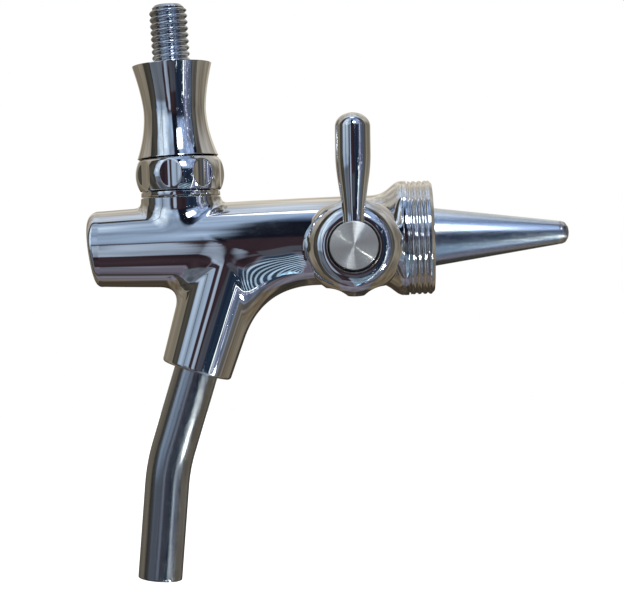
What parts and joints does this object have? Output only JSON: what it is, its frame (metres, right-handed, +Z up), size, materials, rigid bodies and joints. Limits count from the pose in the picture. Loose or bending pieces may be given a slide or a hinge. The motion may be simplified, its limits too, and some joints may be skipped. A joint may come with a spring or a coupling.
{
  "type": "flow control faucet",
  "caption": "Plated bar tap with a tilting lever, a bent drip spout and a side lever that moves a compensator cone to set the flow.",
  "frame": {"origin": "centre of the rear flange's face, where the faucet screws on its shank", "axes": "+X along the barrel to the rear, out of the flange; +Z up towards the handle stud; the side lever stands on the -Y side"},
  "size_m": [0.1202, 0.0479, 0.1448],
  "materials": {
    "plated_metal": "mirror bright plating",
    "steel": "turned bright",
    "brushed_steel": "brushed along the tube",
    "satin_metal": "satin, blasted",
    "brass": "turned",
    "white_nylon": "moulded",
    "black_rubber": "moulded"
  },
  "bodies": {
    "faucet": {"faucet_body": "plated_metal", "spout_tube": "brushed_steel", "spout_seal_ring": "black_rubber", "bonnet_nut": "plated_metal", "ball_bush": "white_nylon", "friction_washer": "white_nylon", "ball_seat": "white_nylon", "thrust_washer": "white_nylon", "flow_nut": "plated_metal", "dust_ring": "black_rubber"},
    "lever": {"lever_spindle": "steel", "lever_collar": "plated_metal"},
    "valve": {"valve_shaft": "brass", "shaft_seal_ring": "black_rubber", "shaft_guide_ring": "black_rubber", "valve_seal": "black_rubber", "seal_backing": "steel", "seal_nut": "steel"},
    "flow_lever": {"flow_spindle": "steel", "flow_lever_arm": "plated_metal", "flow_inner_seal_ring": "black_rubber", "flow_outer_seal_ring": "black_rubber"},
    "compensator": {"cone_stem": "steel", "cone_guide": "white_nylon", "compensator_cone": "satin_metal"}
  },
  "joints": [
    {"name": "handle_tilt", "type": "hinge", "parent": "faucet", "child": "lever", "pos_m": [-0.0628, 0, 0.0109], "axis": [0, -1, 0], "range_deg": [0, 18]},
    {"name": "valve_slide", "type": "slide", "parent": "faucet", "child": "valve", "axis": [1, 0, 0], "range_m": [0, 0.0034]},
    {"name": "flow_lever_turn", "type": "hinge", "parent": "faucet", "child": "flow_lever", "pos_m": [-0.01975, -0.0294, -0.0018], "axis": [0, 1, 0], "range_deg": [-45, 45]},
    {"name": "cone_slide", "type": "slide", "parent": "faucet", "child": "compensator", "axis": [1, 0, 0], "range_m": [-0.0013, 0.0013]}
  ],
  "couplings": [
    {"joint": "valve_slide", "follows": "handle_tilt", "m_per_rad": 0.010665},
    {"joint": "cone_slide", "follows": "flow_lever_turn", "m_per_rad": 0.00162}
  ]
}
